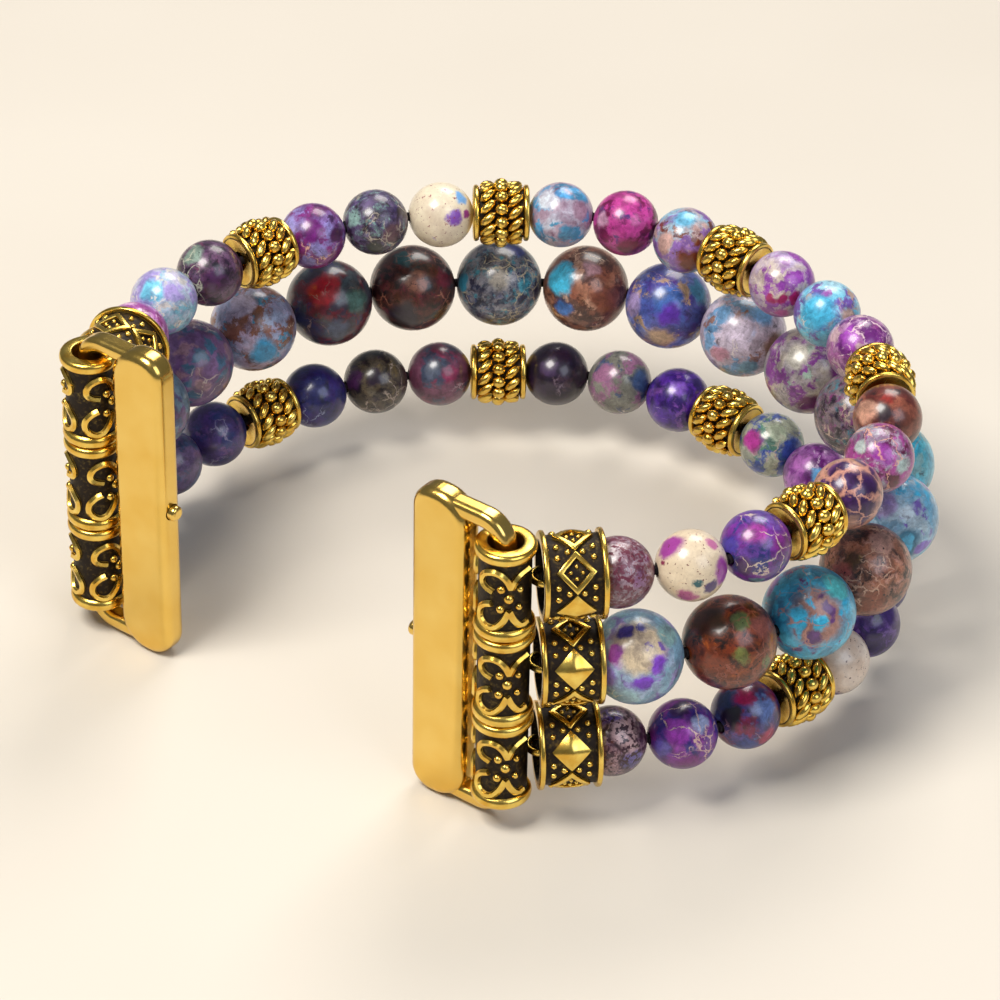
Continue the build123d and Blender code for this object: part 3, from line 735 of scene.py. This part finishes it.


# Every stone's look from the right end: its kind, the colours of its ground, clouds, patches, accents, veins
# and flecks, and its placed patches
TOP_LOOKS = (
    ("speckled", "c4b2b8 a08a98 dccfd2 9a5056 d8cfcf 64283c",
     "-0.3 0.5 1.1 d4c9cd,0.6 -0.2 0.9 94678f,-0.55 -0.45 0.9 a05a58"),
    ("cream", "e0ceb0 e8d8bd 9a3f8f c89a9a d9b78a 6a3038",
     "-0.6 0.55 1.2 a03f98,0.85 -0.15 1.2 9c3a9e,0.15 -0.45 0.4 1f5a60,0.5 -0.6 0.7 46306a,"
     "-0.1 -0.85 0.9 b04a84,0.55 0.65 0.6 c0709c,-0.75 0.05 0.35 8a3050"),
    ("veined", "5b3b9a 7a4fae 7a2f98 2f3a86 d6c3ac 241038",
     "-0.1 0.4 1.1 ae3fa6,0.7 0.1 1.0 8f2f94,-0.75 0 1.0 4636a0,-0.3 -0.6 1.0 4f2a62,0.05 -0.95 0.7 6a9aa8"),
    ("netted", "d0a08a c4907e 45205e 5a2f78 c88f7c 5a2a3a", "0.3 -0.05 2.3 3c1a56,-0.4 0.7 0.9 7a4a80"),
    ("veined", "8a2f80 c4ccd0 b0489a 6a1a4a e0a58c 3a1438",
     "0 0.1 1.1 9f3aa4,-0.62 0.3 0.8 c6d4d0,0.6 -0.2 0.8 b9cfcb,0.35 -0.7 0.8 6f1f3c"),
    ("cloudy", "93503e a8644c 6e2f28 3a2a30 dca68c 2a1a1c",
     "-0.7 0.2 1.2 dca58c,-0.2 0.1 0.9 3f3038,-0.05 0.55 0.6 922c24,0.7 -0.1 1.3 9a5644"),
    ("veined", "a04098 c89ac4 7a2a88 d8b8c0 e6cdd0 5a1c58", "-0.3 0.3 1.0 b550ca,0.6 0 0.8 7c2a80"),
    ("cloudy", "58c6e6 a8e0f0 7a58b0 c8a898 e0d0c0 35507a",
     "-0.4 0 1.9 52c4ea,-0.1 0.55 0.5 a860b8,0.6 -0.1 1.0 cdae9e,0.2 0.85 0.9 b8e8f6"),
    ("cloudy", "c4b4da d8ccb8 a04ab4 b890c4 e8dccb 7a3a80",
     "0.75 0.2 0.8 9a4ab4,-0.1 -0.5 0.6 b01f68,0.3 -0.55 0.6 b01f68,-0.4 -0.45 0.5 b01f68,0 -0.9 0.8 cc5aa4"),
    ("cloudy", "8fcbe6 d8b0a8 9a70c0 7a3a2a e0c8b8 4a3050",
     "-0.1 0.6 1.1 74c8ec,-0.7 -0.1 0.9 dcb2a8,0.1 -0.7 1.4 7c3c2a,0.6 0.7 0.6 8a50b0"),
    ("cloudy", "b4308c d44aa4 7a1050 5a2a7a e0b0c8 4f0f3f",
     "0 0.6 1.3 d84aa8,0.1 -0.8 1.3 860c48,-0.75 0 0.8 d8a4c4,0.8 -0.3 0.8 5a1a5c"),
    ("cloudy", "d4e2f0 b8a0b4 58b2e6 4a98c0 c8b0c0 7a3f6a",
     "-0.4 0.5 1.2 e6f2fa,0.1 0.6 0.7 58b0ea,0.6 0.1 1.0 b492a8,0.2 -0.6 0.7 4c9cc4"),
    ("cream", "ece0c4 e0d2b8 7a58b8 8ab4e4 d8c4a0 8a3a4a",
     "0.6 0.5 0.7 7ab2ea,0.5 -0.1 0.7 8450b4,0.8 0 0.5 9a3a8a"),
    ("mottled", "7fa8a2 6a5a80 8cb4ac 4a3a6a b8ab98 2f2030",
     "-0.6 0.1 0.9 94b8b0,0.6 -0.4 1.2 6a4c54,0 -0.85 0.9 2f3430"),
    ("cloudy", "701c74 a49ae0 8a2a80 48245a d8a890 2f1440",
     "-0.7 0.2 1.1 aaa2e6,0.1 0.1 1.3 741c7a,0.8 0 0.8 4a1a4c"),
    ("mottled", "4e2a54 6a4a6a 38203e 7a3a60 b8b8a4 1c1424", "-0.5 0.5 1.1 8fa698,0.3 -0.3 1.3 4c2352"),
    ("cloudy", "7cc8da d8d0e4 b0a0dc e0d8cf e6dccf 3f5f8a", "-0.3 0.3 1.1 7ad0ea,0.3 0.2 0.9 b4a0de"),
    ("cloudy", "c470c0 a84aa0 e2b8dc 8a2f7a e6cfd8 6a2a6a", ""),
)
MIDDLE_LOOKS = (
    ("cloudy", "8fc0ca a8c0dc 86b4cc a096d8 d8c5a0 5a4a74",
     "0.03 0.25 2.5 dcc8a6,-0.26 0.5 0.8 4c4290,0.1 0.62 0.6 5a58a8,-0.46 0.09 0.9 a048a4,"
     "0.43 -0.14 0.9 8a48cc,0.17 -0.54 1.0 7c34c8,-0.2 -0.85 1.3 a4ccd2,-0.65 -0.35 1.1 9a88da,"
     "0.65 0.5 1.2 8fb8b6,0.2 0.2 0.4 6a4ab0,0.5 0.25 0.35 8a6ac0"),
    ("mottled", "5a2412 8a3c18 6a2814 a8521a 8a4a38 1f0e0a",
     "0.2 0.45 0.9 66763f,0.65 0.35 1.2 84483f,0.95 0 1.3 b87424,0.2 -0.22 0.8 7c8040,0.75 -0.38 0.7 748446,"
     "-0.4 -0.5 1.6 7c3214,-0.5 0.5 1.5 42201a"),
    ("celled", "2f90b8 56c4e4 3abce8 6a3f80 a8786a 4a2434",
     "-0.75 -0.1 1.6 2c86b4,0.15 -0.1 2.6 ab7d70,-0.29 -0.05 0.75 42c4f0,-0.27 -0.25 0.6 42c4f0,"
     "0.17 -0.22 0.85 4ccff4,0.55 0.6 1.3 58cad0,-0.8 0.55 0.9 8c6cb4,0.45 -0.2 0.4 6c4080,"
     "-0.25 -0.75 0.45 5f3c78"),
    ("mottled", "a0604a b4785e 7a4236 c49080 c8a088 2c2020",
     "-0.3 0.2 0.9 4a3834,0.3 0.6 1.3 c89888,-0.6 -0.1 1.3 a85a54,0.1 -0.7 1.3 8c4a34"),
    ("celled", "6ab0d4 c0d8e4 4ac0ea 8a70d0 d0b8a4 33284a", "0.2 -0.6 1.4 2f7fa0,-0.3 0.3 1.2 b8a8d8"),
    ("celled", "3aa4c4 6accdc 48c4e4 8cbcc0 a89080 16303f", ""),
    ("mottled", "6a5a80 8a7a80 4a8a9a 8a3f7a b8a090 241c2c", "0 0.3 1.4 a8a0b4"),
    ("cloudy", "a8a0a8 c8bca8 8a3f98 a8c4b4 d8ccb8 2c2434",
     "0.7 0 1.4 8a2f8c,-0.3 0.3 1.2 c4c0b4,0 -0.8 1.2 6a2a58"),
    ("cloudy", "c8b8c8 dccfe4 7aaede a07a70 d8ccc0 3a2c40",
     "-0.2 0 1.7 e2d4ea,0.4 0.4 1.2 7cb4e6,0.7 -0.3 1.4 8c6a60,-0.6 -0.5 1.0 c48aa0,0.1 -0.8 1.0 7aa8c0"),
    ("cloudy", "4a60b0 5a3aa0 7a8ad8 c8a888 d3b48f 241c4a",
     "-0.1 0.1 1.5 4a78cc,0 -0.25 1.1 6436b4,-0.2 -0.8 1.5 caa888,-0.85 0 1.2 ab98cc,0.7 0.3 1.2 4a90b8"),
    ("cloudy", "8c523e b07a60 5a342c c89a80 d4b090 3a2a34",
     "-0.65 0.2 1.7 4ac6ee,-0.55 -0.5 1.0 3a78c8,0.1 0.4 0.9 b48c94,0.5 -0.3 1.5 8a4a34"),
    ("mottled", "66788a 8a8890 3f4a78 4a98aa b0a488 20243f",
     "0.4 0.75 1.1 222e84,0.6 -0.1 0.9 4aa0b4,0 0 1.1 a8a094,-0.85 0 0.9 3a8aa8"),
    ("mottled", "3a2220 5a3028 1f3a40 6a2430 9a6450 180e10",
     "0.15 0.1 1.1 94604c,-0.2 0.65 1.1 1c4c52,0.75 0.2 1.0 6c1c30,-0.2 -0.7 1.5 2c2030"),
    ("cloudy", "33283c 4a5a60 6a1f30 24245c 8a7068 180c14",
     "-0.1 0.3 1.6 a61c26,0.7 0 1.4 4c7068,-0.5 -0.6 1.5 25285e,0.2 -0.7 1.3 46506a"),
    ("cloudy", "9aa8c8 c4b0cc 8a5a48 3a9ac4 d0bca4 4a344a", "0.3 -0.6 1.5 2f98c8,-0.2 0.5 1.3 c8c0dc"),
    ("celled", "6a4a7a 8a6a98 3f6a8a a07a8a b8a8a0 2f2040", ""),
    ("cloudy", "5a7a90 7a98aa 6a4a80 3f5a8a b8ac9c 2a2c44", ""),
)
BOTTOM_LOOKS = (
    ("speckled", "6e4274 b48e96 5a3c8c 6e332e d8ac98 341424",
     "-0.1 0.75 1.2 5c3f92,0.6 -0.45 1.1 7c6cb8,0.4 0.25 1.3 caa6a8,-0.5 -0.35 1.2 7c3c34"),
    ("veined", "5c2786 7a3aa4 8a2f98 3c2f92 dcb9a4 2a1048",
     "-0.1 0.8 1.1 3c1858,-0.15 0.05 1.3 ac42c0,0.5 0.38 0.9 b4c2ee,-0.62 -0.4 0.9 6c5cbe,"
     "0.2 -0.8 1.1 7c207c"),
    ("cloudy", "3c3468 5a4a90 8a2850 6a80b8 a87a8a 120a1a",
     "-0.65 0.35 1.1 2c4278,-0.05 0.6 1.1 ac2058,-0.45 -0.05 1.1 160e20,0.55 0.15 1.2 6e86c4,"
     "0.65 -0.6 1.1 b03a5c,0 -0.85 1.0 3c4c90"),
    ("cream", "e0c8b2 ecdccc b08a80 6a4a8a c9a890 6a4a48",
     "-0.3 -0.95 1.5 4c2078,0.3 0.85 0.4 9aa87c,-0.5 0 0.6 b89488"),
    # The pale lilac patch at this stone's upper left is a painted highlight, not dye
    ("cloudy", "40206c 553490 2c1858 6a4a98 8a7a98 1a1038", "-0.2 0.4 0.8 8a78b8"),
    ("cloudy", "4a2a70 6a4090 38307a 8a4a90 a890a8 20143c", ""),
    ("cloudy", "6a3f78 8a4f88 4a5a90 a05a80 b8a0a8 2c1a3c", ""),
    ("cloudy", "7a2f88 b070bc 6a2078 8a3f9a b8a0c0 2a1a50",
     "0.05 0 0.8 70b6ee,-0.5 0.4 1.1 b46cbc,0.7 0 1.2 701c80"),
    ("cloudy", "a8b0a0 b8c0a8 3f5ab0 5a8a7a c8a8a8 3a1438",
     "-0.7 0.1 1.2 b83c9c,0.6 -0.2 1.3 3a58b4,0.1 0.4 0.9 b4c4ac"),
    ("cloudy", "48288a 5a28a8 30186a 7a4aa8 9a8ab0 20144a", "-0.1 0.3 0.9 8458c8"),
    ("cloudy", "7c7c72 8c8c82 9a6a8c 4a5a80 c0b4a4 3a3f44", "-0.5 0.2 1.1 a06c90,0.7 0 1.1 3f5884"),
    ("cloudy", "1e1526 2e1c38 2a1a34 402c3a 6a5a68 100a14", "-0.2 0.2 0.8 443054"),
    ("cloudy", "5a3048 7a4860 465068 8a3a58 a8909a 2c1828", "0.4 0 1.0 8a2e54,-0.2 0.1 0.8 5a6478"),
    ("mottled", "4a3a34 5c5242 3a2444 6a5a3a a09084 180f1c", "0 0.1 0.9 2c1c30,-0.7 0 1.0 4a2450"),
    ("cloudy", "282a66 343a80 3a2a74 24284f 8088a8 14183a", ""),
    ("cloudy", "3f2f6a 543f84 34407a 6a4a88 9088a8 1f1838", ""),
    ("cloudy", "5a4a78 7a6490 445a84 8a6a90 a89cb0 2a2240", ""),
    ("cloudy", "48386a 604c80 3c4c78 785a84 9c90a8 221c38", ""),
)


def build_stones():
    """All stones, in order from the right end; returns every strand's beads for the cords."""
    strands = {"top": [], "middle": [], "bottom": []}
    small = [(node, *spot) for node in sorted(nodes) if node.startswith("small_stones")
             for spot in islands(node)]
    level = sum(centre.z for node, centre, axis in small) / len(small)
    # The last of these numbers is where a strand's first stone lies in the noise
    for strand, looks, sign, seed in (("top", TOP_LOOKS, 1, 60), ("bottom", BOTTOM_LOOKS, -1, 180)):
        held = sorted((spot for spot in small if (spot[1].z - level) * sign > 0), key=round_order)
        for index, ((node, centre, axis), look) in enumerate(zip(held, looks)):
            stone(f"{strand}_stone_{index + 1:02d}", centre, axis, SMALL_RADIUS, node,
                  index * SMALL_SEED_STEP + seed, look)
            strands[strand].append((centre, axis, body_of[node], SMALL_RADIUS))
    for index, look in enumerate(MIDDLE_LOOKS):
        node = f"large_stone_{index + 1:02d}"
        (centre, axis), = islands(node)
        stone(f"middle_stone_{index + 1:02d}", centre, axis, LARGE_RADIUS, node,
              index * LARGE_SEED_STEP, look)
        strands["middle"].append((centre, axis, f"column_{index + 1:02d}", LARGE_RADIUS))
    return strands


def joint_place(name):
    """A joint's place in millimetres, and its axis."""
    joint = joints[name]
    return Vector(joint["pos_m"]) / MM, Vector(joint["axis"])


def build_spacers(strands):
    """All spacers on their spin axes, added to the beads of the outer strands."""
    for strand in ("top", "bottom"):
        for index in range(1, SPACERS + 1):
            node = f"spacer_{strand}_{index}"
            centre, axis = joint_place(f"{node}_spin")
            finish_piece(spacer_mesh(), f"granulated_{node}", antique_gold, body_of[node], [node],
                         standing(centre, axis))
            strands[strand].append((centre, axis, f"column_{SPACER_PITCH * index:02d}", SPACER_SEAT_HALF))


def build_ends():
    """Collars and bails; returns each cord loop's eye and the strand's direction there."""
    eyes = {}
    for side in ("right", "left"):
        for strand in ("top", "middle", "bottom"):
            node = f"{side}_collar_{strand}"
            eye, axis = joint_place(f"{node}_spin")
            low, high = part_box(node)
            centre = (Vector(low) + Vector(high)) / 2 / MM
            turn = Matrix.Rotation(math.radians(COLLAR_TURNS[strand]), 4, "X")
            inward = axis if side == "right" else -axis
            finish_piece(collar_mesh(), f"diamond_{node}", antique_gold, body_of[node], [node],
                         standing(centre, inward) @ turn)
            eyes[side, strand] = (eye, inward)
            node = f"{side}_bail_{strand}"
            bar, _ = joint_place(f"{side}_lug_hinge")
            link, _ = joint_place(f"{side}_end_link")
            bar.z = link.z = eye.z
            finish_piece(bail_mesh(), f"scroll_{node}", antique_gold, body_of[node], [node],
                         standing(bar, link - bar))
    return eyes


def build_cords(strands, eyes):
    """Each column carries its own stretch of the three cords, so that they follow the band's bends."""
    runs = {}
    loops = {}
    for strand, beads in strands.items():
        beads = sorted(((body, centre, axis, half) for centre, axis, body, half in beads), key=round_order)
        ends = []
        for index, (body, centre, axis, half) in enumerate(beads):
            onward = beads[min(index + 1, len(beads) - 1)][1] - beads[max(index - 1, 0)][1]
            along = axis if axis.dot(onward) > 0 else -axis
            ends.append((body, centre - along * half, centre + along * half))
        for side, body, near in (("right", FIRST_COLUMN, ends[0][1]), ("left", LAST_COLUMN, ends[-1][2])):
            eye, inward = eyes[side, strand]
            loops.setdefault(body, []).append((eye, inward))
            runs.setdefault(body, []).append((eye + inward * (LOOP_OFFSET + LOOP_RADIUS), near))
        for index, (body, start, end) in enumerate(ends):
            if index:
                start = (start + ends[index - 1][2]) / 2
            if index < len(ends) - 1:
                end = (end + ends[index + 1][1]) / 2
            runs.setdefault(body, []).append((start, end))
    for body in sorted(runs):
        finish_piece(cord_mesh(runs[body], loops.get(body, [])), f"cords_{body}", elastic_cord, body,
                     ["elastic_cords"], Matrix())


def dress(node, material):
    """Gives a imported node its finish."""
    mesh = nodes[node].data
    mesh.materials.clear()
    mesh.materials.append(material)


strands = build_stones()
build_spacers(strands)
build_cords(strands, build_ends())
for side in ("right", "left"):
    for part in ("wire_frame", "lug", "lug_catch"):
        dress(f"{side}_{part}", polished_gold)
    dress(f"{side}_catch_spring", spring_steel)


def build_stage():
    """A plain pale floor and soft studio light."""
    bpy.ops.mesh.primitive_plane_add(size=FLOOR_SIZE, location=(0, 0, 0))
    floor = bpy.context.object
    floor.name = "floor"
    floor.data.materials.append(floor_material())
    scene = bpy.context.scene
    scene.view_settings.view_transform = "Standard"
    scene.world = bpy.data.worlds.new("studio")
    scene.world.use_nodes = True
    background = scene.world.node_tree.nodes["Background"]
    background.inputs["Color"].default_value = linear(WORLD_COLOUR)
    background.inputs["Strength"].default_value = WORLD_STRENGTH
    for name, azimuth, elevation, distance, size, power, tint in LIGHTS:
        light = bpy.data.lights.new(name, "AREA")
        light.size = size
        light.energy = power
        light.color = linear(tint)[:3]
        lamp = bpy.data.objects.new(name, light)
        scene.collection.objects.link(lamp)
        place = view_direction(azimuth, elevation) * distance
        lamp.location = place
        lamp.rotation_euler = (-place).to_track_quat("-Z", "Y").to_euler()


def build_camera():
    """The camera, at the photograph's angle and with its narrow view."""
    data = bpy.data.cameras.new("camera")
    data.lens = CAMERA_LENS
    data.sensor_width = CAMERA_SENSOR
    camera = bpy.data.objects.new("camera", data)
    bpy.context.scene.collection.objects.link(camera)
    camera.location = (Vector(CAMERA_TARGET) + FRONT * CAMERA_DISTANCE) * MM
    turn = (-FRONT).to_track_quat("-Z", "Y").to_matrix().to_4x4()
    camera.rotation_euler = (turn @ Matrix.Rotation(math.radians(CAMERA_ROLL), 4, "Z")).to_euler()
    bpy.context.scene.camera = camera


build_stage()
build_camera()
